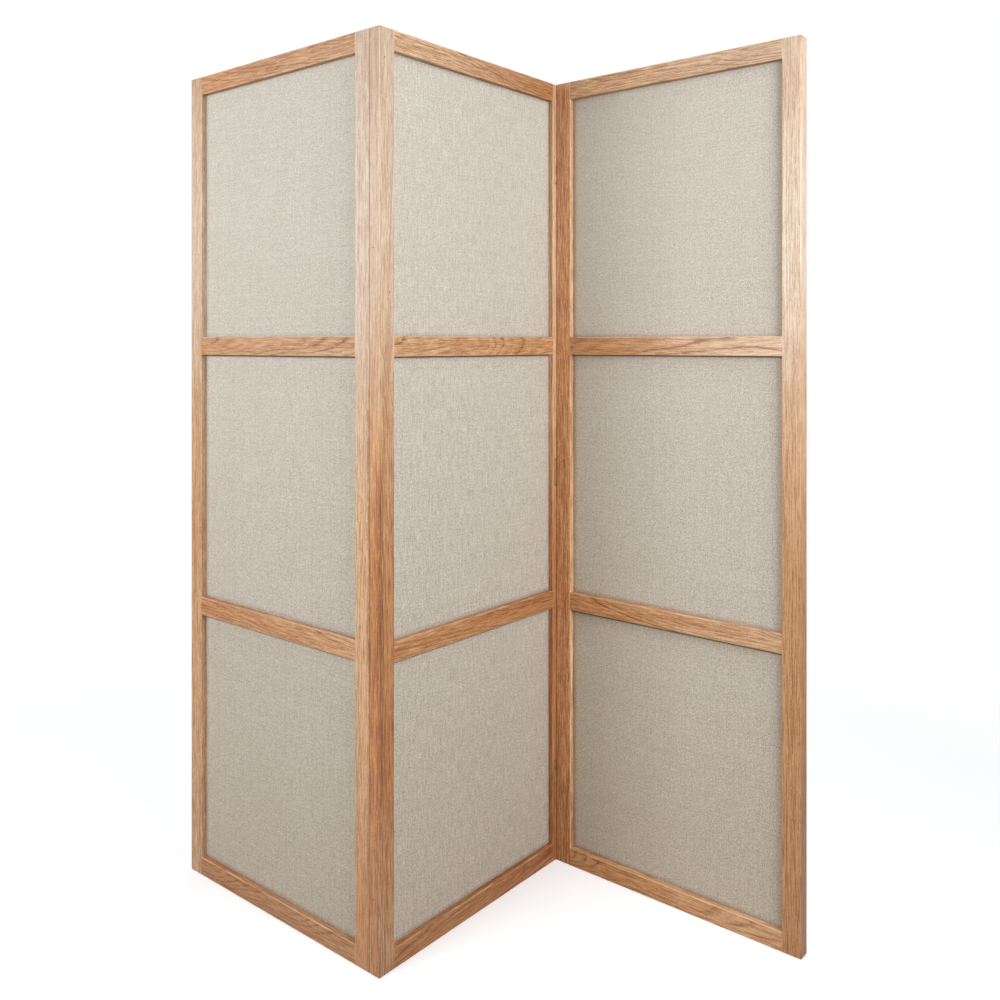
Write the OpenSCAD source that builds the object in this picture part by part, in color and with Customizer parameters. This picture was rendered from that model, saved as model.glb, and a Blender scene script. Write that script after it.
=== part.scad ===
// Folding screen of three hinged oak panels, each with three bays of stretched linen.
// The origin is on the floor under the middle of the centre panel. The centre panel runs
// along X. The left panel turns back towards +Y and the right panel turns forward towards -Y.

/* [Screen] */
// Height of the standing screen
screen_h = 1800; // [1500:10:2000]
// Width of each panel over its two stiles
panel_w = 590; // [420:5:750]
// Thickness of the frames
frame_t = 28; // [26:1:36]

/* [Frame] */
// Width of a stile across its face
stile_w = 40; // [38:1:60]
// Height of a rail across its face
rail_h = 40; // [40:1:60]
// Radius of the eased arrises
arris_r = 2; // [0.5:0.25:3]

/* [Infill] */
// Thickness of the board that carries the linen
board_t = 2.2; // [1.6:0.1:4]
// Thickness of one layer of linen
linen_t = 0.4; // [0.3:0.1:0.8]
// Depth of the groove that holds the infill
groove_depth = 8; // [6:0.5:9]
// Gap between the linen and each wall of its groove
groove_clear = 0.3; // [0.2:0.05:0.5]
// Play between the board and the bottom of its groove
board_play = 1; // [0.5:0.25:2]
// Bare margin of the board around the linen
linen_margin = 2; // [1:0.5:3]

/* [Dowels] */
// Diameter of a dowel
dowel_d = 8; // [6:0.5:8]
// Length of a dowel
dowel_len = 50; // [30:2:60]
// Distance between the two dowels of a rail end
dowel_pitch = 13; // [11:0.5:13]
// Length and depth of the bevel at a dowel's ends
dowel_bevel = 1; // [0.5:0.25:1.5]

/* [Hinges] */
// Height of a hinge
hinge_h = 60; // [50:2:80]
// Distance from the ends of the screen to the outer hinges' middles
hinge_inset = 200; // [120:10:300]
// Width of a leaf, from its free edge to the panel's face
leaf_w = 20; // [16:0.5:22]
// Thickness of a leaf
leaf_t = 1.5; // [1.2:0.1:2]
// Outer diameter of the knuckles
knuckle_d = 5; // [4.6:0.1:6]
// Diameter of the hinge pin
pin_d = 2.5; // [2:0.1:2.8]
// Height of the head at each end of a pin
pin_head_h = 0.8; // [0.5:0.1:1.5]
// Gap between the edge of a side panel and the face of the centre panel
fold_gap = 0.4; // [0.3:0.05:0.8]

/* [Screws] */
// Diameter of a hinge screw's shank
screw_d = 3; // [2.5:0.1:3.5]
// Length of a hinge screw
screw_len = 16; // [12:1:18]
// Distance between the screws along a leaf
screw_pitch = 19; // [14:0.5:20]
// Distance that the middle screw stands closer to the knuckle
screw_stagger = 4; // [0:0.5:5]

/* [Hidden] */
$fn = 48;
// how far a cutting shape reaches past the surface that it opens
cut_over = 1;
hinge_count = 3;
knuckle_count = 5;
// clearance all round a hinge pin, a dowel and a screw
run_clear = 0.05;
// clearance between a knuckle and the wood, and between a leaf's outline and its recess
knuckle_clear = 0.3;
leaf_clear = 0.2;
// gap between two knuckles along the pin
knuckle_gap = 0.2;
// space past the end of a dowel or a screw in its hole
hole_end_clear = 0.5;
// overlap of a pin's head beyond the pin, and of a screw's head beyond its shank
pin_head_lip = 0.9;
screw_head_lip = 1.6;
// straight point of a screw, and the cross cut in its head
screw_point = 3;
cross_w = 0.6;
cross_depth = 0.9;

BAYS = ["bottom", "middle", "top"];
RAILS = ["bottom", "lower", "upper", "top"];
bay_count = len(BAYS);
bay_w = panel_w - 2 * stile_w;
bay_h = (screen_h - len(RAILS) * rail_h) / bay_count;
infill_t = board_t + 2 * linen_t;
groove_w = infill_t + 2 * groove_clear;
tongue = groove_depth - board_play;
board_w = bay_w + 2 * tongue;
board_h = bay_h + 2 * tongue;
dowel_hole_depth = dowel_len / 2 + hole_end_clear;
// distance from the pin's axis to the side panel's inner face
pin_offset = knuckle_d / 2 + knuckle_clear;
knuckle_h = (hinge_h - (knuckle_count - 1) * knuckle_gap) / knuckle_count;
hinge_pitch = (screen_h - 2 * hinge_inset) / (hinge_count - 1);
// the left fold's pin axis in plan; the right fold is this one turned half a turn
pin_x = -panel_w / 2 + frame_t + pin_offset;
pin_y = frame_t / 2 + fold_gap / 2;

// height of a rail's lower edge, and of a bay's lower edge, counted from the floor
function rail_z(i) = i * (rail_h + bay_h);
function bay_z(i) = rail_z(i) + rail_h;
function index(list, name) = search([name], list)[0];

PANELS = ["left", "centre", "right"];
FOLDS = ["left", "right"];

// Shapes of one panel, in the panel's own frame: X runs across it from its left stile's outer
// edge, Y is its thickness with the front at -Y, and Z is up from the floor.

// What is cut from a sharp edge of length l along Z to leave an arris of arris_r. The wood lies
// towards sx and sy from the edge.
module arris_cut(l, sx, sy) {
    linear_extrude(l)
        difference() {
            translate([sx < 0 ? -arris_r : -cut_over, sy < 0 ? -arris_r : -cut_over])
                square(arris_r + cut_over);
            translate([sx * arris_r, sy * arris_r])
                circle(arris_r);
        }
}

// The same cut on both faces of a bar: along Z at x, with the wood towards sx
module face_arris_cuts(x, l, sx)
    for (side = [-1, 1])
        translate([x, side * frame_t / 2, 0])
            arris_cut(l, sx, -side);

// Turns a shape so that its length along Z lies along X and its width along X stands along Z
module lay_down()
    rotate([0, -90, 180])
        children();

// Two dowel holes, or two dowels, at a rail's end: placed round the rail's middle height
module dowel_pair()
    for (side = [-1, 1])
        translate([0, 0, rail_h / 2 + side * dowel_pitch / 2])
            rotate([0, 90, 0])
                children();

module dowel_hole()
    translate([0, 0, -dowel_hole_depth])
        cylinder(h = 2 * dowel_hole_depth, r = dowel_d / 2 + run_clear);

module dowel_shape()
    rotate_extrude()
        polygon([
            [0, -dowel_len / 2],
            [dowel_d / 2 - dowel_bevel, -dowel_len / 2],
            [dowel_d / 2, -dowel_len / 2 + dowel_bevel],
            [dowel_d / 2, dowel_len / 2 - dowel_bevel],
            [dowel_d / 2 - dowel_bevel, dowel_len / 2],
            [0, dowel_len / 2]
        ]);

// The stile on the panel's left, with its grooved edge towards +X
module left_stile_shape()
    difference() {
        translate([0, -frame_t / 2, 0])
            cube([stile_w, frame_t, screen_h]);
        face_arris_cuts(0, screen_h, 1);
        for (i = [0 : bay_count - 1]) {
            translate([0, 0, bay_z(i)])
                face_arris_cuts(stile_w, bay_h, -1);
            translate([stile_w - groove_depth, -groove_w / 2, bay_z(i) - groove_depth])
                cube([groove_depth + cut_over, groove_w, bay_h + 2 * groove_depth]);
        }
        for (i = [0 : len(RAILS) - 1])
            translate([stile_w, 0, rail_z(i)])
                dowel_pair()
                    dowel_hole();
        // arrises of the two ends, along the faces and along the outer edge
        for (end = [0, 1], side = [-1, 1])
            translate([0, side * frame_t / 2, end * screen_h])
                lay_down()
                    arris_cut(stile_w, end == 0 ? 1 : -1, side);
        for (end = [0, 1])
            translate([0, frame_t / 2, end * screen_h])
                rotate([90, 0, 0])
                    arris_cut(frame_t, 1, end == 0 ? 1 : -1);
    }

module stile_shape(side)
    if (side == "left")
        left_stile_shape();
    else
        translate([panel_w, 0, 0])
            mirror([1, 0, 0])
                left_stile_shape();

// Rail i of a panel, counted from the floor; it is grooved wherever it meets a bay
module rail_shape(i)
    difference() {
        translate([stile_w, -frame_t / 2, rail_z(i)])
            cube([bay_w, frame_t, rail_h]);
        translate([stile_w, 0, rail_z(i)])
            lay_down() {
                face_arris_cuts(0, bay_w, 1);
                face_arris_cuts(rail_h, bay_w, -1);
            }
        if (i > 0)
            translate([stile_w - cut_over, -groove_w / 2, rail_z(i) - cut_over])
                cube([bay_w + 2 * cut_over, groove_w, groove_depth + cut_over]);
        if (i < len(RAILS) - 1)
            translate([stile_w - cut_over, -groove_w / 2, bay_z(i) - groove_depth])
                cube([bay_w + 2 * cut_over, groove_w, groove_depth + cut_over]);
        for (x = [stile_w, stile_w + bay_w])
            translate([x, 0, rail_z(i)])
                dowel_pair()
                    dowel_hole();
    }

module dowels_shape()
    for (i = [0 : len(RAILS) - 1], x = [stile_w, stile_w + bay_w])
        translate([x, 0, rail_z(i)])
            dowel_pair()
                dowel_shape();

// The board of bay i stands on the bottom of its lower groove
module board_shape(i)
    translate([stile_w - tongue, -board_t / 2, bay_z(i) - groove_depth])
        cube([board_w, board_t, board_h]);

module linen_shape(i, face)
    translate([
        stile_w - tongue + linen_margin,
        face == "front" ? -board_t / 2 - linen_t : board_t / 2,
        bay_z(i) - groove_depth + linen_margin
    ])
        cube([board_w - 2 * linen_margin, linen_t, board_h - 2 * linen_margin]);

// Stands a panel shape in its place on the screen
module in_panel(panel)
    if (panel == "left")
        translate([-panel_w / 2 + frame_t / 2, frame_t / 2 + fold_gap + panel_w, 0])
            rotate([0, 0, -90])
                children();
    else if (panel == "centre")
        translate([-panel_w / 2, 0, 0])
            children();
    else
        translate([panel_w / 2 - frame_t / 2, -frame_t / 2 - fold_gap, 0])
            rotate([0, 0, -90])
                children();

// Shapes of one hinge, in the hinge's own frame: Z is the pin's axis, with the origin at the
// middle of the pin. The side panel's edge lies at +Y and the centre panel's face at -Y, and
// both leaves reach towards -X.

// Every hinge of a fold, in place on the screen
module at_fold(fold)
    rotate([0, 0, fold == "left" ? 0 : 180])
        for (i = [0 : hinge_count - 1])
            translate([pin_x, pin_y, hinge_inset + i * hinge_pitch])
                children();

// Knuckles of one leaf, counted from the bottom: the centre leaf has the even ones
module knuckles(first, diameter, extra)
    for (k = [first : 2 : knuckle_count - 1])
        translate([0, 0, -hinge_h / 2 + k * (knuckle_h + knuckle_gap) - extra])
            cylinder(h = knuckle_h + 2 * extra, d = diameter);

// Places the three screws of a leaf, each with its head outwards at the leaf's outer face and
// its point towards the wood. side is 1 for the side panel's leaf and -1 for the centre's.
module at_screws(side)
    for (k = [-1, 0, 1])
        translate([
            -pin_offset - leaf_w / 2 - screw_stagger / 2 + (k == 0 ? screw_stagger : 0),
            side * fold_gap / 2,
            k * screw_pitch
        ])
            rotate([side * -90, 0, 0])
                children();

module screw_shape()
    difference() {
        rotate_extrude()
            polygon([
                [0, 0],
                [screw_d / 2 + screw_head_lip, 0],
                [screw_d / 2, screw_head_lip],
                [screw_d / 2, screw_len - screw_point],
                [0, screw_len]
            ]);
        for (turn = [0, 90])
            rotate([0, 0, turn])
                translate([-screw_d / 2, -cross_w / 2, -cut_over])
                    cube([screw_d, cross_w, cross_depth + cut_over]);
    }

// The hole that a screw stands in, through the leaf and into the wood
module screw_hole() {
    hole_r = screw_d / 2 + run_clear;
    mouth_r = hole_r + screw_head_lip;
    cylinder(h = screw_head_lip, r1 = mouth_r, r2 = hole_r);
    cylinder(h = screw_len + hole_end_clear, r = hole_r);
    translate([0, 0, -cut_over])
        cylinder(h = cut_over, r = mouth_r);
}

module leaf_shape(side)
    difference() {
        union() {
            translate([-pin_offset - leaf_w, side > 0 ? fold_gap / 2 : -fold_gap / 2 - leaf_t, -hinge_h / 2])
                cube([leaf_w + pin_offset, leaf_t, hinge_h]);
            knuckles(side > 0 ? 1 : 0, knuckle_d, 0);
        }
        translate([0, 0, -hinge_h / 2 - cut_over])
            cylinder(h = hinge_h + 2 * cut_over, r = pin_d / 2 + run_clear);
        knuckles(side > 0 ? 0 : 1, knuckle_d + 2 * knuckle_clear, knuckle_gap);
        at_screws(side)
            screw_hole();
    }

module pin_shape() {
    head_z = hinge_h / 2 + run_clear;
    cylinder(h = 2 * head_z, d = pin_d, center = true);
    for (end = [-1, 1])
        translate([0, 0, end * (head_z + pin_head_h / 2)])
            cylinder(h = pin_head_h, d = pin_d + 2 * pin_head_lip, center = true);
}

// The recess for a leaf, open towards the other panel and towards the knuckle
module leaf_recess(side)
    translate([
        -pin_offset - leaf_w - leaf_clear,
        side > 0 ? fold_gap / 2 - cut_over : -fold_gap / 2 - leaf_t,
        -hinge_h / 2 - leaf_clear
    ])
        cube([leaf_w + pin_offset + leaf_clear, leaf_t + cut_over, hinge_h + 2 * leaf_clear]);

// What a hinge takes out of the side panel's stile, and out of the centre panel's stile, which
// also gives the knuckle room
module side_hinge_cuts() {
    leaf_recess(1);
    at_screws(1)
        screw_hole();
}

module centre_hinge_cuts() {
    leaf_recess(-1);
    at_screws(-1)
        screw_hole();
    cylinder(
        h = hinge_h + 2 * (run_clear + pin_head_h + knuckle_clear),
        r = knuckle_d / 2 + knuckle_clear,
        center = true
    );
}

// Pieces, each in its place on the screen

module oak()
    color([0.80, 0.63, 0.45])
        children();

module hinge_brass()
    color([0.62, 0.49, 0.28])
        children();

// The stiles beside a fold are cut for its hinges
module stile(panel, side)
    oak()
        difference() {
            in_panel(panel)
                stile_shape(side);
            if (panel == "left" && side == "right")
                at_fold("left")
                    side_hinge_cuts();
            if (panel == "centre")
                at_fold(side)
                    centre_hinge_cuts();
            if (panel == "right" && side == "left")
                at_fold("right")
                    side_hinge_cuts();
        }

module rail(panel, name)
    oak()
        in_panel(panel)
            rail_shape(index(RAILS, name));

module board(panel, bay)
    color([0.55, 0.42, 0.30])
        in_panel(panel)
            board_shape(index(BAYS, bay));

module linen(panel, bay, face)
    color([0.80, 0.77, 0.70])
        in_panel(panel)
            linen_shape(index(BAYS, bay), face);

module dowels(panel)
    color([0.86, 0.74, 0.56])
        in_panel(panel)
            dowels_shape();

module leaves(fold, side)
    hinge_brass()
        at_fold(fold)
            leaf_shape(side);

module pins(fold)
    hinge_brass()
        at_fold(fold)
            pin_shape();

module screws(fold, side)
    hinge_brass()
        at_fold(fold)
            at_screws(side)
                screw_shape();

for (p = PANELS) {
    for (s = ["left", "right"])
        stile(p, s);
    for (r = RAILS)
        rail(p, r);
    for (b = BAYS) {
        board(p, b);
        for (f = ["front", "back"])
            linen(p, b, f);
    }
    dowels(p);
}
for (f = FOLDS) {
    leaves(f, 1);
    leaves(f, -1);
    pins(f);
    screws(f, 1);
    screws(f, -1);
}
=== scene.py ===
"""The looks of the folding screen: oak frames, linen bays, brass hinges and a plain studio."""

import math

import bmesh
import bpy
import numpy as np
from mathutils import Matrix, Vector


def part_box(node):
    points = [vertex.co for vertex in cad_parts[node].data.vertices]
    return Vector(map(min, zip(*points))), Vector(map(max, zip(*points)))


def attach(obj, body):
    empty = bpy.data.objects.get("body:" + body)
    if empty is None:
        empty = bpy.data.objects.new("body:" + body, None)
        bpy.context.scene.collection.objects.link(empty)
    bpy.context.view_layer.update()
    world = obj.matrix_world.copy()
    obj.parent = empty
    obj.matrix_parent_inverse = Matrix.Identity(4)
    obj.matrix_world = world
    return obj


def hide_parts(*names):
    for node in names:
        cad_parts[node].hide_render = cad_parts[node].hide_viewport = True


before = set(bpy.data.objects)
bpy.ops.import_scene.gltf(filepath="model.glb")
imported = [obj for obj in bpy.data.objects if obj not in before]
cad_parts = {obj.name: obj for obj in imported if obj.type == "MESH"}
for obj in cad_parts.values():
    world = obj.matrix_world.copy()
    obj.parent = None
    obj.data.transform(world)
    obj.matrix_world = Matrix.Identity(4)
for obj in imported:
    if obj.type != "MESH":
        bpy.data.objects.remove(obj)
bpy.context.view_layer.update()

PANELS = ("left", "centre", "right")
BAYS = ("bottom", "middle", "top")
RAILS = ("bottom", "lower", "upper", "top")
FACES = ("front", "back")

# Camera: level, with the frame shifted down as the photograph is framed. Metres and pixels.
IMAGE_PX = 1000
FOCAL_PX = 991.46
HORIZON_PX = 343.4
SENSOR_MM = 36.0
EYE = Vector((-1.592, -1.379, 1.199))
AHEAD = Vector((0.7714, 0.6364, 0.0))

# Linen sheets: mesh steps across and up, thickness (m), and a ripple of waves: how high each is
# (m), how many, and the range of their turns over the sheet
SHEET_STEPS = (32, 34)
SHEET_THICK = 0.00035
SHEET_RIPPLE = 0.00008
SHEET_WAVES = 5
SHEET_TURNS = (0.6, 2.6)
# Distance from thread to thread (m)
WARP = 0.00086
WEFT = 0.00094
# The shade where the cloth goes down under a rail: how deep it reaches at the height
# CREVICE_LEVEL (m), and what is left of the light. It reaches further by CREVICE_FALL for each
# metre down and less for each metre up, but never less than CREVICE_LEAST. It ends softly, over
# the distances CREVICE_EDGE from its reach.
CREVICE = 0.0030
CREVICE_DARK = 0.42
CREVICE_LEVEL = 1.2
CREVICE_FALL = 0.0062
CREVICE_LEAST = 0.0006
CREVICE_EDGE = (-0.0022, 0.0010)

# Studio. Colours are linear.
WHITE = (1.0, 1.0, 1.0, 1.0)
FLOOR_HALF = 9.0
# The floor fades from matt at the screen's feet to plain white at these distances (m)
FLOOR_FADE = (0.9, 2.1)
FLOOR_SEEN = (0.80, 0.79, 0.78, 1.0)
FLOOR_LIFT = 0.34
# The colour of the light that the floor throws back at the screen
FLOOR_BOUNCE = (0.43, 0.28, 0.11, 1.0)
AMBIENT = (0.04, 0.04, 0.04, 1.0)
LAMP_COLOUR = (0.96, 1.01, 1.07)
# For each lamp: place, what it is aimed at, width and height (m), power (W)
LAMPS = {
    "left": ((-2.4, 0.6, 1.7), (0.0, 0.0, 1.4), (1.2, 1.1), 45.0),
    "left_back": ((-2.1, 2.1, 1.7), (-0.2, 0.2, 1.4), (1.2, 1.1), 12.0),
    "front": ((-0.6, -2.3, 1.75), (0.0, 0.0, 1.4), (1.2, 1.1), 48.0),
    "right_front": ((1.3, -1.9, 1.75), (0.0, 0.0, 1.4), (1.2, 1.1), 8.0),
    "front_high": ((-0.3, -1.9, 2.9), (0.0, 0.0, 1.1), (1.2, 1.2), 15.0),
    "over": ((-0.3, -0.3, 3.7), (0.0, 0.0, 1.0), (1.8, 1.8), 10.0),
    "back": ((2.2, 2.2, 2.4), (0.0, 0.0, 1.0), (1.6, 1.6), 80.0),
}


def make_camera():
    data = bpy.data.cameras.new("camera")
    data.sensor_width = SENSOR_MM
    data.lens = FOCAL_PX / IMAGE_PX * SENSOR_MM
    data.shift_y = HORIZON_PX / IMAGE_PX - 0.5
    camera = bpy.data.objects.new("camera", data)
    bpy.context.collection.objects.link(camera)
    camera.location = EYE
    camera.rotation_euler = AHEAD.to_track_quat("-Z", "Y").to_euler()
    bpy.context.scene.camera = camera


class Tree:
    """The nodes of a material or a world, made with short calls. A value is a number, a tuple or
    a socket."""

    def __init__(self, owner):
        self.owner = owner
        owner.use_nodes = True
        self.nodes = owner.node_tree.nodes
        self.links = owner.node_tree.links
        self.nodes.clear()

    def feed(self, socket, value):
        if isinstance(value, bpy.types.NodeSocket):
            self.links.new(value, socket)
        else:
            socket.default_value = value

    def node(self, kind, values=None, **settings):
        made = self.nodes.new(kind)
        for key, value in settings.items():
            setattr(made, key, value)
        for socket, value in (values or {}).items():
            self.feed(made.inputs[socket], value)
        return made

    def math(self, operation, a, b=0.0, c=0.0, clamp=False):
        made = self.node("ShaderNodeMath", {0: a, 1: b, 2: c}, operation=operation)
        made.use_clamp = clamp
        return made.outputs[0]

    def vector(self, operation, a, b=(0.0, 0.0, 0.0)):
        made = self.node("ShaderNodeVectorMath", {0: a, 1: b}, operation=operation)
        return made.outputs["Value" if operation in ("LENGTH", "DISTANCE") else "Vector"]

    def split(self, vector):
        return self.node("ShaderNodeSeparateXYZ", {0: vector}).outputs

    def join(self, x, y, z):
        return self.node("ShaderNodeCombineXYZ", {0: x, 1: y, 2: z}).outputs[0]

    def noise(self, vector, detail=2.0, roughness=0.5, output="Fac"):
        values = {"Vector": vector, "Scale": 1.0, "Detail": detail, "Roughness": roughness}
        return self.node("ShaderNodeTexNoise", values, noise_dimensions="3D").outputs[output]

    def random(self, value):
        return self.node("ShaderNodeTexWhiteNoise", {"W": value}, noise_dimensions="1D").outputs[0]

    def step(self, value, low, high, to_low=0.0, to_high=1.0):
        """Smooth from to_low at low to to_high at high."""
        values = {0: value, 1: low, 2: high, 3: to_low, 4: to_high}
        made = self.node("ShaderNodeMapRange", values, interpolation_type="SMOOTHSTEP")
        return made.outputs[0]

    def ramp(self, factor, stops):
        made = self.node("ShaderNodeValToRGB", {0: factor})
        points = made.color_ramp.elements
        while len(points) < len(stops):
            points.new(0.5)
        for point, (place, colour) in zip(points, stops):
            point.position = place
            point.color = (*colour, 1.0)
        return made.outputs[0]

    def mix(self, factor, a, b, blend="MIX"):
        made = self.node("ShaderNodeMix", data_type="RGBA", blend_type=blend)
        self.feed(made.inputs[0], factor)
        self.feed(made.inputs[6], a)
        self.feed(made.inputs[7], b)
        return made.outputs[2]

    def scaled(self, colour, factor):
        """A colour times a grey factor."""
        return self.mix(1.0, colour, self.join(factor, factor, factor), "MULTIPLY")

    def direct_rays(self):
        """1 for the rays that show the background: straight, mirrored or through glass."""
        rays = self.node("ShaderNodeLightPath").outputs
        bent = self.math("MAXIMUM", rays["Is Glossy Ray"], rays["Is Transmission Ray"])
        return self.math("MAXIMUM", rays["Is Camera Ray"], bent)

    def moved(self, base, noise, reach):
        """A base moved either way by noise: by half the reach at most."""
        return self.math("MULTIPLY_ADD", self.math("SUBTRACT", noise, 0.5), reach, base)

    def bump(self, height, strength, distance):
        values = {"Height": height, "Strength": strength, "Distance": distance}
        return self.node("ShaderNodeBump", values).outputs[0]

    def surface(self, colour, roughness, normal=None, tangent=None, **fixed):
        values = {"Base Color": colour, "Roughness": roughness}
        if normal is not None:
            values["Normal"] = normal
        if tangent is not None:
            values["Tangent"] = tangent
        shader = self.node("ShaderNodeBsdfPrincipled", values)
        for key, value in fixed.items():
            shader.inputs[key.replace("_", " ")].default_value = value
        self.node("ShaderNodeOutputMaterial", {0: shader.outputs[0]})
        return self.owner


def new_material(name):
    return Tree(bpy.data.materials.new(name))


def put(node, material):
    """Gives a CAD node its material."""
    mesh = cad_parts[node].data
    mesh.materials.clear()
    mesh.materials.append(material)


# Oak

# Noise in the wood: cells per metre across the grain, cells per metre along it, and detail
WANDER = (5.0, 2.1, 2.0)
RIPPLE = (60.0, 7.0, 2.0)
BROKEN = (120.0, 7.0, 2.0)
FIBRE = (560.0, 26.0, 2.0)
SPECK = (640.0, 260.0, 1.0)
STRAND = (260.0, 10.0, 2.0)
BROAD = (80.0, 3.0, 2.0)
CROWD = (300.0, 26.0, 1.0)
PORE = (1500.0, 70.0, 1.0)
FLECK = (300.0, 60.0, 1.0)
# the patches where the rubbed arrises and their painted highlight show
RUBBED_AND_HIGHLIGHT = (60.0, 16.0, 2.0)
# How far the growth rings wander across a bar's thickness and width, and how far they ripple (m)
WANDER_REACH = (0.040, 0.024)
RIPPLE_REACH = 0.0022
# The rings' widths vary: cells per metre away from the pith, and by how many rings
UNEVEN_CELLS = 60.0
UNEVEN_TURNS = 3.2
# Parts of a ring: where its porous dark band ends, and where its late wood starts
EARLY_END = 0.36
LATE_START = 0.60
# Steps: as a noise rises from the first number to the second, the result goes from the third to
# the fourth, or from 0 to 1 where there are only two
RING_STEP = (0.0, 0.9, 0.2, 1.0)
BROKEN_STEP = (0.36, 0.60, 0.35, 1.0)
CROWD_STEP = (0.42, 0.66, 0.2, 1.0)
PORE_STEP = (0.50, 0.60)
FLECK_STEP = (0.56, 0.76)
RUBBED_AND_HIGHLIGHT_STEP = (0.30, 0.62)
# How strongly the pores show outside the rings' early wood
PORE_LEAST = 0.35
# Keeps the bars' noise apart, one step for each axis
SEED_STEPS = (7.31, 3.17, 11.9)
# How strongly fibres, specks, broad bands and the rings' late wood shade the wood
FIBRE_SHADE = 1.25
SPECK_SHADE = 0.55
BROAD_SHADE = 0.45
LATE_SHADE = 0.10
# How far pores, flecks and end grain take on their own colours
PORE_MIX = 0.72
FLECK_MIX = 0.40
END_MIX = 0.42
# Roughness of plain wood, and what fibres, pores and end grain add
ROUGH_WOOD = 0.33
ROUGH_FIBRE = 0.12
ROUGH_PORE = 0.25
ROUGH_END = 0.20
# The relief of the grain: its strength and its depth (m), and how high fibres and early wood
# stand against a pore's depth
OAK_BUMP = (0.45, 0.00022)
FIBRE_HEIGHT = 0.45
EARLY_HEIGHT = -0.18
# The shader's settings for glare that is thrown across the grain
OAK_GLARE = {"IOR": 1.52, "Anisotropic": 0.8, "Anisotropic_Rotation": 0.25}
# Colours from pale to dark wood, of pores, flecks, rubbed arrises with their painted
# highlight, end grain and knots
OAK_COLOURS = ((0.0, (0.67, 0.415, 0.225)), (0.22, (0.51, 0.262, 0.120)),
               (0.50, (0.345, 0.148, 0.058)), (1.0, (0.14, 0.052, 0.022)))
PORE_COLOUR = (0.20, 0.085, 0.034, 1.0)
FLECK_COLOUR = (0.76, 0.54, 0.34, 1.0)
RUBBED_AND_HIGHLIGHT_COLOUR = (0.74, 0.50, 0.31, 1.0)
END_COLOUR = (0.26, 0.135, 0.062, 1.0)
KNOT_COLOUR = (0.09, 0.035, 0.015, 1.0)
KNOT_RADIUS = 0.0022
# How far from an arris its rubbing and painted highlight start and where they are full (m)
ARRIS = (0.0032, 0.0008)
# A heart streak is full this near to its corner (m), and this much of it goes on to the foot
HEART_CORE = 0.002
HEART_FOOT = 0.38
# Where along a stile it grows calmer, in metres from its middle
CALM_PLACES = (-0.20, 0.34)
# Steps of a face's normal: along the bar it makes the face end grain, and across the width it
# makes it the edge on the low side
END_FACING = (0.75, 0.97)
EDGE_FACING = (-0.4, -0.9)
# A tint's green follows this power of its blue
GREEN_POWER = 0.45


def tone(light, pale):
    """A tint: how light, and how far from ruddy (below 1) to pale (above 1)."""
    return light, light * pale ** GREEN_POWER, light * pale


def tone_ramp(tree, along, rows):
    """The tint at a part of a bar's length, from rows of (part, light, pale)."""
    return tree.ramp(along, [(part, tone(light, pale)) for part, light, pale in rows])


def growth_rings(tree, grain, ripple, place, rings, seed):
    """How strongly the rings' porous early wood and their late wood show. The rings lie round a
    pith, given in metres from the bar's middle across its thickness and across its width, which
    leans over by lean for each metre of length."""
    t, w, l = place
    pith, lean, ring = rings
    shifts = []
    wander = tree.split(grain(WANDER, "Color"))
    for offset, slow, quick, reach in zip(pith, wander, ripple, WANDER_REACH):
        shifts.append(tree.moved(tree.moved(-offset, slow, reach), quick, RIPPLE_REACH))
    out_t = tree.math("ADD", t, tree.math("MULTIPLY_ADD", l, lean, shifts[0]))
    out_w = tree.math("ADD", w, shifts[1])
    radius = tree.vector("LENGTH", tree.join(out_t, out_w, 0.0))
    uneven = tree.join(tree.math("MULTIPLY", radius, UNEVEN_CELLS), seed, 0.0)
    turn = tree.math("DIVIDE", radius, ring)
    turn = tree.math("MULTIPLY_ADD", tree.noise(uneven, detail=1.0), UNEVEN_TURNS, turn)
    year = tree.math("FRACT", turn)
    # each ring starts with a porous dark band and grows paler, then a little darker
    early = tree.step(year, EARLY_END, 0.0)
    late = tree.step(year, LATE_START, 1.0)
    strength = tree.step(tree.random(tree.math("FLOOR", turn)), *RING_STEP)
    broken = tree.step(grain(BROKEN), *BROKEN_STEP)
    return tree.math("MULTIPLY", early, tree.math("MULTIPLY", strength, broken)), late


def heart_streak(tree, corner, height, ripple, reach, fade):
    """Heartwood along the corner where the bar's front meets its low edge, from 0 to 1. fade
    gives the heights where it starts, is full, is last full and has faded (m)."""
    away = tree.vector("LENGTH", tree.join(*corner, 0.0))
    band = tree.step(tree.moved(away, ripple, -reach), reach, HEART_CORE)
    top = tree.step(height, fade[0], fade[1])
    foot = tree.step(height, fade[3], fade[2], HEART_FOOT, 1.0)
    return tree.math("MULTIPLY", band, tree.math("MULTIPLY", top, foot))


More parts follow.
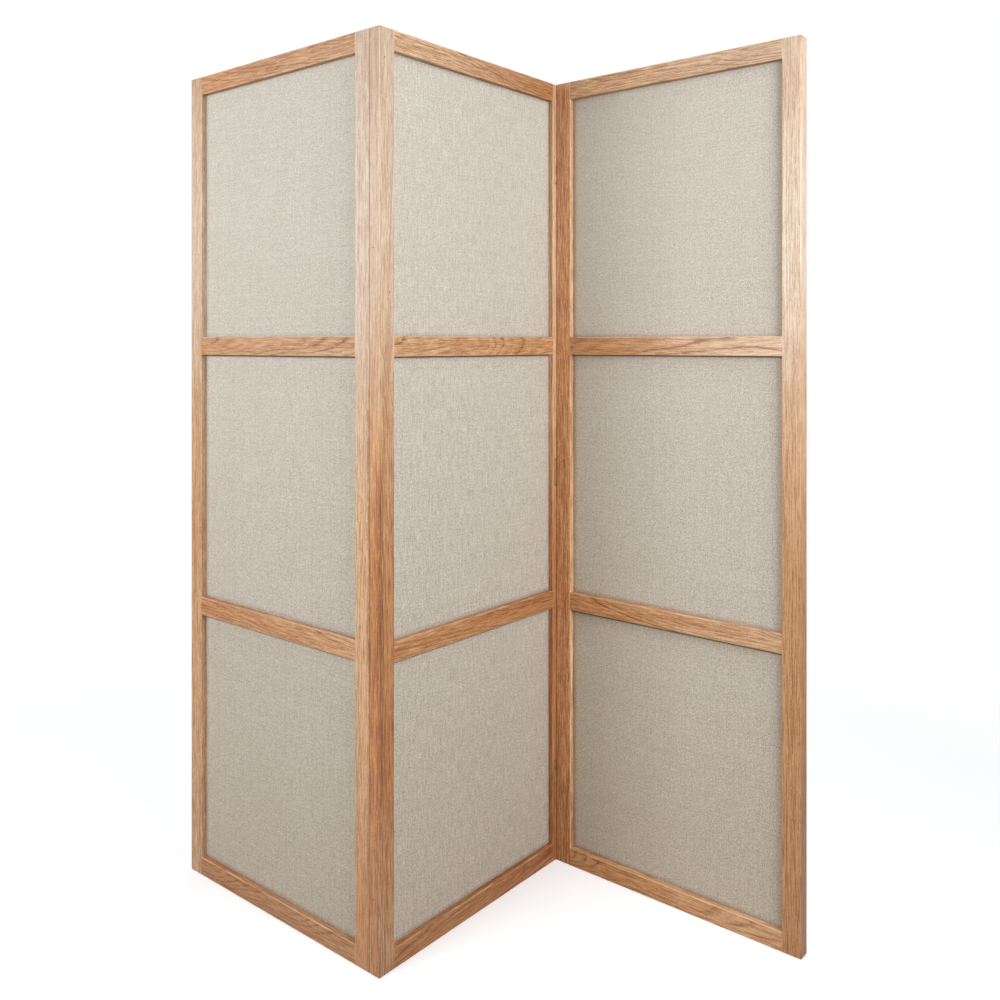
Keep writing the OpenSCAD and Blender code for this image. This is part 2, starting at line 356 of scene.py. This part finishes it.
def oak(name, order, rings, dark, seed, tones, finish, coarse=1.0, calm=0.0, heart=None,
        edge_tone_and_light=None, knots=()):
    """The material of one bar. order names the axis across its thickness, the axis across its
    width and the grain's axis."""
    low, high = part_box(name)
    middle = [(a + b) / 2 for a, b in zip(low, high)]
    size = [b - a for a, b in zip(low, high)]
    numbers = ["XYZ".index(axis) for axis in order]
    half_t, half_w, half_l = (size[number] / 2 for number in numbers)
    tree = new_material("oak_" + name)
    texture = tree.node("ShaderNodeTexCoord").outputs
    axes = tree.split(texture["Object"])
    facing = tree.split(texture["Normal"])
    place = [tree.math("SUBTRACT", axes[number], middle[number]) for number in numbers]
    t, w, l = place
    along = tree.math("MULTIPLY_ADD", l, 0.5 / half_l, 0.5)

    def grain(pattern, output="Fac"):
        """Noise stretched along the grain."""
        close, long, detail = pattern
        spot = tree.join(*(
            tree.math("MULTIPLY_ADD", way, cells, seed * step)
            for way, cells, step in zip(place, (close, close, long), SEED_STEPS)
        ))
        return tree.noise(spot, detail=detail, output=output)

    ripple = tree.split(grain(RIPPLE, "Color"))
    early, late = growth_rings(tree, grain, ripple, place, rings, seed)
    fibre = grain(FIBRE)
    crowd = tree.step(grain(CROWD), *CROWD_STEP)
    porous = tree.math("MULTIPLY_ADD", early, 1.0 - PORE_LEAST, PORE_LEAST)
    pore = tree.math("MULTIPLY", tree.step(grain(PORE), *PORE_STEP), porous)
    pore = tree.math("MULTIPLY", pore, crowd)
    fleck = tree.step(grain(FLECK), *FLECK_STEP)

    shade = tree.math("MULTIPLY", late, LATE_SHADE)
    shade = tree.math("MULTIPLY_ADD", early, finish["ringed"], shade)
    shade = tree.moved(shade, fibre, FIBRE_SHADE)
    shade = tree.moved(shade, grain(SPECK), SPECK_SHADE)
    shade = tree.moved(shade, grain(STRAND), finish["streaks"])
    shade = tree.moved(shade, grain(BROAD), BROAD_SHADE)
    # the paler head of a stile, partly painted glare, is calmer too, as grain shows less under
    # glare
    head = tree.step(l, *CALM_PLACES)
    shade = tree.math("MULTIPLY", shade, tree.math("MULTIPLY_ADD", head, -calm * coarse, coarse))
    core = 0.0
    if heart:
        reach, strength, fade = heart
        corner = tree.math("ADD", t, half_t), tree.math("ADD", w, half_w)
        core = heart_streak(tree, corner, tree.math("ADD", l, half_l), ripple[1], reach, fade)
        shade = tree.math("MULTIPLY_ADD", core, strength, shade)
    colour = tree.ramp(tree.math("ADD", shade, dark), OAK_COLOURS)
    colour = tree.mix(tree.math("MULTIPLY", pore, PORE_MIX), colour, PORE_COLOUR)
    colour = tree.mix(tree.math("MULTIPLY", fleck, FLECK_MIX), colour, FLECK_COLOUR)

    tint = tone_ramp(tree, along, tones)
    if edge_tone_and_light:
        # the edge on the low side of the width has tones of its own: partly its own wood, partly
        # painted light and shade where it faces the lamps otherwise than the front
        edge = tree.step(facing[numbers[1]], *EDGE_FACING)
        tint = tree.mix(edge, tint, tree.mix(1.0, tint, tone_ramp(tree, along, edge_tone_and_light), "MULTIPLY"))
    colour = tree.mix(1.0, colour, tint, "MULTIPLY")
    for knot in knots:
        away = tree.vector("DISTANCE", tree.join(*place), knot)
        colour = tree.mix(tree.step(away, KNOT_RADIUS, KNOT_RADIUS / 3), colour, KNOT_COLOUR)

    # the eased arrises are paler: partly rubbed wear, partly a painted highlight where they
    # catch the light; and end grain drinks more oil
    near_t, near_w = (
        tree.step(tree.math("ABSOLUTE", across), half - ARRIS[0], half - ARRIS[1])
        for across, half in ((t, half_t), (w, half_w))
    )
    rubbed_and_highlight = tree.math("MULTIPLY", tree.math("MULTIPLY", near_t, near_w), finish["rubbed_and_highlight"])
    rubbed_and_highlight = tree.math("MULTIPLY", rubbed_and_highlight, tree.step(grain(RUBBED_AND_HIGHLIGHT), *RUBBED_AND_HIGHLIGHT_STEP))
    rubbed_and_highlight = tree.math("MULTIPLY", rubbed_and_highlight, tree.math("SUBTRACT", 1.0, core))
    colour = tree.mix(rubbed_and_highlight, colour, RUBBED_AND_HIGHLIGHT_COLOUR)
    end = tree.step(tree.math("ABSOLUTE", facing[numbers[2]]), *END_FACING)
    colour = tree.mix(tree.math("MULTIPLY", end, END_MIX), colour, END_COLOUR)

    rough = tree.math("MULTIPLY_ADD", fibre, ROUGH_FIBRE, ROUGH_WOOD)
    rough = tree.math("MULTIPLY_ADD", pore, ROUGH_PORE, rough)
    rough = tree.math("MULTIPLY_ADD", end, ROUGH_END, rough, clamp=True)
    height = tree.math("MULTIPLY_ADD", pore, -1.0, tree.math("MULTIPLY", fibre, FIBRE_HEIGHT))
    height = tree.math("MULTIPLY_ADD", early, EARLY_HEIGHT, height)
    normal = tree.bump(height, *OAK_BUMP)
    # the fibres throw their glare sideways, across the grain
    lie = tuple(float(axis == order[2]) for axis in "XYZ")
    lie = tree.node("ShaderNodeVectorTransform", {0: lie}, vector_type="VECTOR",
                    convert_from="OBJECT", convert_to="WORLD").outputs[0]
    return tree.surface(colour, rough, normal, lie, Specular_IOR_Level=finish["gloss"],
                        **OAK_GLARE)


# How strongly the rings show, the gloss, how pale the arrises are rubbed and painted with a
# highlight, and how strong the broader strands are
STILE_FINISH = {"ringed": 0.30, "gloss": 0.6, "rubbed_and_highlight": 0.25, "streaks": 0.75}
RAIL_FINISH = {"ringed": 0.62, "gloss": 0.4, "rubbed_and_highlight": 0.6, "streaks": 0.30}
# For each stile: the rings' pith (m), lean and width (m)
STILE_RINGS = {
    "left_panel_left_stile": ((0.16, 0.11), 0.006, 0.0031),
    "left_panel_right_stile": ((0.15, 0.13), 0.004, 0.0029),
    "centre_panel_left_stile": ((0.12, 0.05), 0.016, 0.0033),
    "centre_panel_right_stile": ((0.17, 0.09), 0.005, 0.0030),
    "right_panel_left_stile": ((0.10, 0.07), 0.014, 0.0029),
    "right_panel_right_stile": ((0.15, 0.12), 0.006, 0.0031),
}
# For each stile: offset towards dark, seed, how coarse, and how much calmer at its head
STILE_GRAIN = {
    "left_panel_left_stile": (0.18, 1.3, 1.0, 0.35),
    "left_panel_right_stile": (0.12, 2.7, 1.0, 0.35),
    "centre_panel_left_stile": (0.14, 4.1, 1.3, 0.50),
    "centre_panel_right_stile": (0.14, 5.9, 1.0, 0.35),
    "right_panel_left_stile": (0.21, 7.2, 1.4, 0.20),
    "right_panel_right_stile": (0.10, 8.8, 1.1, 0.45),
}
# Tones (light, pale) of each stile at these parts of its height; the paler tones towards the
# head are partly the wood's own, partly painted glare of the lamps
STILE_PLACES = (0.06, 0.22, 0.42, 0.56, 0.75, 0.94)
STILE_TONES_AND_GLARE = {
    "left_panel_left_stile": (
        (1.03, 1.15), (1.03, 1.08), (0.96, 0.96), (0.96, 1.08), (0.92, 1.54), (0.86, 1.33)),
    "left_panel_right_stile": (
        (0.98, 0.75), (1.11, 1.10), (1.18, 1.20), (1.07, 1.40), (0.88, 1.60), (0.92, 1.75)),
    "centre_panel_left_stile": (
        (0.84, 0.82), (0.75, 0.50), (0.85, 0.66), (0.88, 0.93), (0.96, 1.60), (0.91, 1.65)),
    "centre_panel_right_stile": (
        (0.80, 0.65), (0.83, 0.58), (0.86, 0.60), (1.15, 1.25), (1.10, 1.45), (0.88, 1.15)),
    "right_panel_left_stile": (
        (1.12, 0.70), (1.33, 0.83), (1.22, 0.72), (1.16, 0.70), (1.25, 0.80), (1.05, 0.74)),
    "right_panel_right_stile": (
        (0.80, 0.66), (0.87, 0.75), (0.86, 0.78), (0.99, 1.15), (1.03, 1.80), (0.94, 1.55)),
}
# Tones of single edges, against the front's, at parts of their height: partly the edges' own
# wood, partly painted light and shade, as an edge faces the lamps otherwise than the front
EDGE_TONES_AND_LIGHT = {
    "centre_panel_left_stile": ((0.06, 1.10, 0.86), (0.22, 1.26, 1.00), (0.42, 1.08, 0.90),
                                (0.56, 1.16, 0.94), (0.75, 0.92, 0.86)),
    "centre_panel_right_stile": ((0.2, 1.03, 0.72), (0.8, 1.03, 0.72)),
    "right_panel_left_stile": ((0.2, 1.10, 1.50), (0.8, 1.10, 1.50)),
    "right_panel_right_stile": ((0.15, 0.66, 0.50), (0.5, 0.86, 0.80), (0.8, 0.92, 1.03)),
}
# Streaks of dark heartwood where two stiles meet at the left fold. For each stile: how far the
# streak reaches from the corner (m), its strength, and the heights between which it fades (m)
HEARTS = {
    "left_panel_right_stile": (0.0085, 0.26, (1.14, 1.00, 0.66, 0.50)),
    "centre_panel_left_stile": (0.0160, 0.36, (1.02, 0.88, 0.72, 0.54)),
}
# Pin knots as places from a bar's middle (m): across its thickness, across its width, along it
KNOTS = {
    "centre_panel_left_stile": (
        (-0.014, -0.0061, 0.842), (-0.014, 0.0072, 0.397), (-0.014, 0.0062, -0.474),
        (0.003, -0.020, 0.481), (0.002, -0.020, -0.756)),
    "centre_panel_right_stile": ((-0.014, -0.0163, 0.394),),
}
# For each rail: the rings' pith (m), lean and width (m), and the offset towards dark
RAIL_LOOKS = {
    "bottom": ((0.070, 0.020), 0.050, 0.0027, 0.16),
    "lower": ((0.080, 0.034), 0.036, 0.0025, 0.16),
    "upper": ((0.095, 0.012), 0.030, 0.0028, 0.14),
    "top": ((0.085, 0.040), 0.040, 0.0026, 0.17),
}
# A rail's seed: of the first rail, and one step for each panel and for each place on it
RAIL_SEEDS = (11.0, 4.3, 1.9)
# How far the rails differ in their offset towards dark, and how quickly that turns with the seed
RAIL_SPREAD = 0.03
RAIL_TURN = 5.0
# Tones of the four rails of each panel, foot to head, at these parts of their length
RAIL_PLACES = (0.2, 0.8)
RAIL_TONES = {
    "left": (((0.89, 0.85), (0.79, 0.61)), ((1.08, 1.00), (0.99, 0.72)),
             ((0.87, 0.97), (0.85, 0.75)), ((0.91, 1.03), (0.87, 0.68))),
    "centre": (((0.83, 0.66), (0.78, 0.47)), ((0.98, 0.78), (0.80, 0.61)),
               ((1.04, 1.10), (0.96, 0.86)), ((0.97, 1.25), (0.73, 0.63))),
    "right": (((1.12, 1.08), (1.09, 0.80)), ((1.01, 1.11), (1.07, 0.78)),
              ((1.05, 1.35), (0.93, 0.77)), ((0.87, 1.27), (1.03, 1.14))),
}


def dress_frames():
    for name, rings in STILE_RINGS.items():
        order = "YXZ" if name.startswith("centre") else "XYZ"
        tones = [(part, *pair) for part, pair in zip(STILE_PLACES, STILE_TONES_AND_GLARE[name])]
        dark, seed, coarse, calm = STILE_GRAIN[name]
        put(name, oak(name, order, rings, dark, seed, tones, STILE_FINISH, coarse, calm,
                      heart=HEARTS.get(name), edge_tone_and_light=EDGE_TONES_AND_LIGHT.get(name),
                      knots=KNOTS.get(name, ())))
    first, next_panel, next_place = RAIL_SEEDS
    for number, panel in enumerate(PANELS):
        order = "YZX" if panel == "centre" else "XZY"
        for place, rail in enumerate(RAILS):
            name = f"{panel}_panel_{rail}_rail"
            pith, lean, ring, dark = RAIL_LOOKS[rail]
            seed = first + next_panel * number + next_place * place
            # every other rail leans the other way
            side = -1 if (number + place) % 2 else 1
            dark += RAIL_SPREAD * math.sin(seed * RAIL_TURN)
            tones = [(part, *pair) for part, pair in zip(RAIL_PLACES, RAIL_TONES[panel][place])]
            put(name, oak(name, order, (pith, side * lean, ring), dark, seed, tones, RAIL_FINISH))


# Plain wood and metal

HARDBOARD_COLOURS = ((0.30, (0.12, 0.066, 0.034)), (0.55, (0.25, 0.148, 0.080)),
                     (0.75, (0.36, 0.230, 0.132)))
BEECH_COLOURS = ((0.3, (0.50, 0.33, 0.19)), (0.7, (0.70, 0.51, 0.33)))
BRASS_COLOURS = ((0.32, (0.20, 0.115, 0.055)), (0.56, (0.34, 0.205, 0.100)),
                 (0.8, (0.44, 0.290, 0.150)))
# Roughness. The brass's is that of its dullest places: brightness and brushing change it.
HARDBOARD_ROUGH = 0.72
BEECH_ROUGH = 0.6
BRASS_ROUGH = 0.50
ROUGH_BRIGHT = -0.22
ROUGH_BRUSHED = 0.10
# Relief: strength and depth (m)
HARDBOARD_BUMP = (0.3, 0.0002)
BEECH_BUMP = (0.2, 0.0002)
BRASS_BUMP = (0.12, 0.00005)
# How much the chips count in the hardboard's shade, and the clouds
CHIP_SHADE = 0.6
CLOUD_SHADE = 0.4
# Cells per metre along X, Y and Z
CHIP_CELLS = (420.0, 420.0, 420.0)
CLOUD_CELLS = (9.0, 9.0, 9.0)
BEECH_CELLS = (120.0, 120.0, 420.0)
BRUSHED_CELLS = (900.0, 900.0, 60.0)
DULL_CELLS = (70.0, 70.0, 45.0)


def plain_noise(tree, cells, detail):
    """Noise in cells per metre along X, Y and Z."""
    place = tree.node("ShaderNodeTexCoord").outputs["Object"]
    return tree.noise(tree.vector("MULTIPLY", place, cells), detail=detail)


def hardboard():
    tree = new_material("hardboard")
    chips = plain_noise(tree, CHIP_CELLS, 4.0)
    cloud = plain_noise(tree, CLOUD_CELLS, 2.0)
    shade = tree.math("MULTIPLY", chips, CHIP_SHADE)
    shade = tree.math("MULTIPLY_ADD", cloud, CLOUD_SHADE, shade)
    colour = tree.ramp(shade, HARDBOARD_COLOURS)
    return tree.surface(colour, HARDBOARD_ROUGH, tree.bump(chips, *HARDBOARD_BUMP))


def beech():
    tree = new_material("beech")
    fibres = plain_noise(tree, BEECH_CELLS, 3.0)
    colour = tree.ramp(fibres, BEECH_COLOURS)
    return tree.surface(colour, BEECH_ROUGH, tree.bump(fibres, *BEECH_BUMP))


def brass():
    tree = new_material("brass")
    brushed = plain_noise(tree, BRUSHED_CELLS, 2.0)
    dull = plain_noise(tree, DULL_CELLS, 4.0)
    # brighter brass is smoother, and the brushing roughens all of it a little
    rough = tree.math("MULTIPLY_ADD", dull, ROUGH_BRIGHT, BRASS_ROUGH)
    rough = tree.math("MULTIPLY_ADD", brushed, ROUGH_BRUSHED, rough)
    colour = tree.ramp(dull, BRASS_COLOURS)
    return tree.surface(colour, rough, tree.bump(brushed, *BRASS_BUMP), Metallic=1.0)


def dress_hidden_pieces():
    board, dowel, metal = hardboard(), beech(), brass()
    for panel in PANELS:
        put(f"{panel}_panel_dowels", dowel)
        for bay in BAYS:
            put(f"{panel}_panel_{bay}_board", board)
    for fold in ("left", "right"):
        for what in ("side_leaves", "centre_leaves", "pins", "side_screws", "centre_screws"):
            put(f"{fold}_fold_{what}", metal)


# Linen

# Cells per metre along the weft and up the warp: the threads' wandering, flecks and streaks
BEND_CELLS = (30.0, 30.0)
FLECK_CELLS = (460.0, 340.0)
STREAK_CELLS = (300.0, 30.0)
# How far the threads wander (m)
BEND_REACH = 0.0011
# Added to a place across and up (m), so that every thread's number is above zero
COUNT_FROM = (3.0, 1.0)
# Keeps the noise of different things apart
THREAD_ROWS = 41.0
WARP_START = 5.3
WEFT_START = 9.1
FLECK_ROW = 2.0
STREAK_ROW = 7.0
# Cells per metre of a thread's slow and quick changes of tone
SLOW_CELLS = 34.0
QUICK_CELLS = 190.0
# How much a thread's own tone, its quick changes and its slow ones count, and the flecks
THREAD_OWN = 0.10
THREAD_QUICK = 0.98
WARP_SLOW = 0.40
WEFT_SLOW = 0.22
FLECK_SHADE = 0.86
# The cloth's mean shade, how much smoother the upper bays look, and between which heights (m)
CLOTH_MEAN = 0.695
CLOTH_CALM = 0.20
CLOTH_CALM_PLACES = (0.80, 1.50)
# The light that reaches the gaps between threads, as a step of the threads' height
GAP_STEP = (0.02, 0.55, 0.50, 1.0)
# The relief of the threads: its strength and its depth (m)
LINEN_BUMP = (0.38, 0.00016)
LINEN_ROUGH = 0.86
LINEN_SHEEN = {"Sheen_Weight": 0.25, "Sheen_Roughness": 0.45,
               "Sheen_Tint": (0.93, 0.90, 0.84, 1.0)}
LINEN_COLOURS = ((0.34, (0.320, 0.276, 0.219)), (0.66, (0.570, 0.510, 0.425)),
                 (0.92, (0.770, 0.710, 0.616)), (1.0, (0.80, 0.75, 0.66)))
# For each panel: the axis its weft runs along, a shift of its pattern (m) and how streaky
LINENS = {"left": ("Y", 0.37, 0.15), "centre": ("X", 0.0, 0.40), "right": ("Y", 0.81, 0.15)}


def linen(panel):
    """Undyed plain weave of warp threads upright and weft threads across."""
    across, shift, streaky = LINENS[panel]
    tree = new_material("linen_" + panel)
    axes = tree.split(tree.node("ShaderNodeTexCoord").outputs["Object"])
    u = tree.math("ADD", axes["XYZ".index(across)], COUNT_FROM[0] + shift)
    v = tree.math("ADD", axes[2], COUNT_FROM[1])

    def patches(cells, row, **more):
        """Noise over the cloth, in cells per metre along the weft and up the warp."""
        close, tall = cells
        return tree.noise(tree.join(tree.math("MULTIPLY", u, close), tree.math("MULTIPLY", v, tall),
                                    row), **more)

    # the threads are never quite straight
    bend = tree.split(patches(BEND_CELLS, shift, output="Color"))
    u = tree.math("MULTIPLY_ADD", bend[0], BEND_REACH, u)
    v = tree.math("MULTIPLY_ADD", bend[1], BEND_REACH, v)
    warp_turn, weft_turn = tree.math("DIVIDE", u, WARP), tree.math("DIVIDE", v, WEFT)
    warp_number, weft_number = tree.math("FLOOR", warp_turn), tree.math("FLOOR", weft_turn)

    def thread(number, along, start, slowness):
        """How pale a thread is: its own tone, and slow and quick changes along it."""
        own = tree.random(tree.math("ADD", number, start))
        row = tree.math("MULTIPLY_ADD", own, THREAD_ROWS, number)
        slow, quick = (
            tree.noise(tree.join(row, tree.math("MULTIPLY", along, cells), start), detail=1.0)
            for cells in (SLOW_CELLS, QUICK_CELLS)
        )
        pale = tree.math("MULTIPLY_ADD", own, THREAD_OWN, tree.math("MULTIPLY", slow, slowness))
        return tree.math("MULTIPLY_ADD", quick, THREAD_QUICK, pale)

    def round_off(turn):
        """How high a thread's round top stands, from 0 at its sides to 1."""
        side = tree.math("MULTIPLY_ADD", tree.math("FRACT", turn), 2.0, -1.0)
        return tree.math("SUBTRACT", 1.0, tree.math("MULTIPLY", side, side))

    warp = thread(warp_number, v, WARP_START + shift, WARP_SLOW)
    weft = thread(weft_number, u, WEFT_START + shift, WEFT_SLOW)
    warp_top, weft_top = round_off(warp_turn), round_off(weft_turn)
    # on each crossing one thread lies on top: it is round across itself and dips at its ends
    over = tree.math("MODULO", tree.math("ADD", warp_number, weft_number), 2.0)
    warp_high = tree.math("MULTIPLY", warp_top, tree.math("MULTIPLY_ADD", weft_top, 0.5, 0.5))
    weft_high = tree.math("MULTIPLY", weft_top, tree.math("MULTIPLY_ADD", warp_top, 0.5, 0.5))
    height = tree.node("ShaderNodeMix", {0: over, 2: warp_high, 3: weft_high}).outputs[0]
    shade = tree.node("ShaderNodeMix", {0: over, 2: warp, 3: weft}).outputs[0]

    # slubs: flecks some threads wide, drawn out a little along the warp, and a soft mottle
    shade = tree.moved(shade, patches(FLECK_CELLS, FLECK_ROW, detail=1.0), FLECK_SHADE)
    shade = tree.moved(shade, patches(STREAK_CELLS, STREAK_ROW, detail=1.0), streaky)
    calm = tree.step(axes[2], *CLOTH_CALM_PLACES, 1.0, 1.0 - CLOTH_CALM)
    shade = tree.math("SUBTRACT", shade, CLOTH_MEAN)
    shade = tree.math("MULTIPLY_ADD", shade, calm, CLOTH_MEAN)
    colour = tree.ramp(shade, LINEN_COLOURS)
    # painted shade darkens the deep gaps between the threads
    colour = tree.scaled(colour, tree.step(height, *GAP_STEP))
    # where the cloth goes down into its groove it lies in the dark
    colour = tree.scaled(colour, groove_shade(tree, axes[2]))
    normal = tree.bump(height, *LINEN_BUMP)
    return tree.surface(colour, LINEN_ROUGH, normal, **LINEN_SHEEN)


def groove_shade(tree, height):
    """Falls from 1 to CREVICE_DARK over the last CREVICE metres below each rail."""
    low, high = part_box("centre_panel_bottom_rail")
    rail = high[2] - low[2]
    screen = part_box("centre_panel_top_rail")[1][2]
    pitch = (screen - rail) / len(BAYS)
    # depth below the rail above, in a bay counted from the middle of the rail below it
    turn = tree.math("DIVIDE", tree.math("SUBTRACT", height, rail / 2), pitch)
    inside = tree.math("MULTIPLY", tree.math("FRACT", turn), pitch)
    depth = tree.math("SUBTRACT", pitch - rail / 2, inside)
    # the light comes from above, so the lower the rail the deeper its shade
    reach = tree.math("MULTIPLY_ADD", height, -CREVICE_FALL, CREVICE + CREVICE_FALL * CREVICE_LEVEL)
    reach = tree.math("MAXIMUM", reach, CREVICE_LEAST)
    past = tree.math("SUBTRACT", depth, reach)
    return tree.step(past, *CREVICE_EDGE, CREVICE_DARK, 1.0)


def sheet_mesh(node, outwards):
    """A sheet where the CAD linen lies: flat, with the faint ripple of stretched cloth.
    outwards is the direction, along X or Y, that its good side faces."""
    low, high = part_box(node)
    thin = 0 if outwards[0] else 1
    wide = 1 - thin
    face = (high if outwards[thin] > 0 else low)[thin]
    steps_u, steps_v = SHEET_STEPS
    rng = np.random.default_rng(sum(map(ord, node)))
    starts = rng.uniform(0.0, 2 * math.pi, (SHEET_WAVES, 2))
    turns = rng.uniform(*SHEET_TURNS, (SHEET_WAVES, 2))
    made = bmesh.new()
    rows = []
    for j in range(steps_v + 1):
        row = []
        for i in range(steps_u + 1):
            a, b = i / steps_u, j / steps_v
            lift = sum(
                math.sin(2 * math.pi * turn[0] * a + start[0])
                * math.sin(2 * math.pi * turn[1] * b + start[1])
                for start, turn in zip(starts, turns)
            )
            held = math.sin(math.pi * a) * math.sin(math.pi * b)
            point = [0.0, 0.0, low[2] + b * (high[2] - low[2])]
            point[wide] = low[wide] + a * (high[wide] - low[wide])
            point[thin] = face + outwards[thin] * SHEET_RIPPLE * lift * held
            row.append(made.verts.new(point))
        rows.append(row)
    for j in range(steps_v):
        for i in range(steps_u):
            made.faces.new((rows[j][i], rows[j][i + 1], rows[j + 1][i + 1], rows[j + 1][i]))
    made.normal_update()
    if made.faces[:][0].normal[thin] * outwards[thin] < 0:
        bmesh.ops.reverse_faces(made, faces=made.faces[:])
    mesh = bpy.data.meshes.new(node)
    made.to_mesh(mesh)
    made.free()
    for polygon in mesh.polygons:
        polygon.use_smooth = True
    return mesh


def hang_linens():
    for panel in PANELS:
        cloth = linen(panel)
        thin, wide = (1, 0) if panel == "centre" else (0, 1)
        for bay in BAYS:
            for side in FACES:
                node = f"{panel}_panel_{bay}_linen_{side}"
                outwards = [0, 0]
                outwards[thin] = -1 if side == "front" else 1
                mesh = sheet_mesh(node, outwards)
                sheet = bpy.data.objects.new(f"{panel}_{bay}_cloth_{side}", mesh)
                bpy.context.collection.objects.link(sheet)
                thick = sheet.modifiers.new("thickness", "SOLIDIFY")
                thick.thickness = SHEET_THICK
                thick.offset = -1.0
                mesh.materials.append(cloth)
                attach(sheet, f"{panel}_panel")
                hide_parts(node)


# Floor, world, lamps

def make_floor():
    """Matt near the screen, so that it keeps the shadow, and plain white further off. The light
    that it throws back has a colour of its own."""
    sides = ((-1, -1), (1, -1), (1, 1), (-1, 1))
    corners = [(x * FLOOR_HALF, y * FLOOR_HALF, 0.0) for x, y in sides]
    mesh = bpy.data.meshes.new("floor")
    mesh.from_pydata(corners, [], [(0, 1, 2, 3)])
    floor = bpy.data.objects.new("floor", mesh)
    bpy.context.collection.objects.link(floor)
    tree = new_material("floor")
    away = tree.vector("LENGTH", tree.node("ShaderNodeTexCoord").outputs["Object"])
    far = tree.step(away, *FLOOR_FADE)
    matt = tree.node("ShaderNodeBsdfDiffuse", {"Color": FLOOR_SEEN})
    glow = tree.node("ShaderNodeEmission", {"Color": WHITE, "Strength": FLOOR_LIFT})
    near = tree.node("ShaderNodeAddShader", {0: matt.outputs[0], 1: glow.outputs[0]})
    white = tree.node("ShaderNodeEmission", {"Color": WHITE, "Strength": 1.0})
    shown = tree.node("ShaderNodeMixShader", {0: far, 1: near.outputs[0], 2: white.outputs[0]})
    bounce = tree.node("ShaderNodeBsdfDiffuse", {"Color": FLOOR_BOUNCE})
    direct = tree.direct_rays()
    both = tree.node("ShaderNodeMixShader", {0: direct, 1: bounce.outputs[0], 2: shown.outputs[0]})
    tree.node("ShaderNodeOutputMaterial", {0: both.outputs[0]})
    mesh.materials.append(tree.owner)


def make_world():
    """White behind the screen, and a little even light on it."""
    world = bpy.data.worlds.new("studio")
    bpy.context.scene.world = world
    tree = Tree(world)
    ambient = tree.node("ShaderNodeBackground", {"Color": AMBIENT})
    plain = tree.node("ShaderNodeBackground", {"Color": WHITE})
    direct = tree.direct_rays()
    both = tree.node("ShaderNodeMixShader", {0: direct, 1: ambient.outputs[0], 2: plain.outputs[0]})
    tree.node("ShaderNodeOutputWorld", {0: both.outputs[0]})


def make_lamps():
    for name, (place, aim, size, power) in LAMPS.items():
        data = bpy.data.lights.new(name, "AREA")
        data.shape = "RECTANGLE"
        data.size, data.size_y = size
        data.color = LAMP_COLOUR
        data.energy = power
        lamp = bpy.data.objects.new(name, data)
        bpy.context.collection.objects.link(lamp)
        lamp.location = place
        lamp.rotation_euler = (Vector(aim) - Vector(place)).to_track_quat("-Z", "Y").to_euler()
        lamp.visible_camera = False


make_camera()
dress_frames()
dress_hidden_pieces()
hang_linens()
make_floor()
make_world()
make_lamps()

bpy.context.scene.view_settings.view_transform = "Standard"
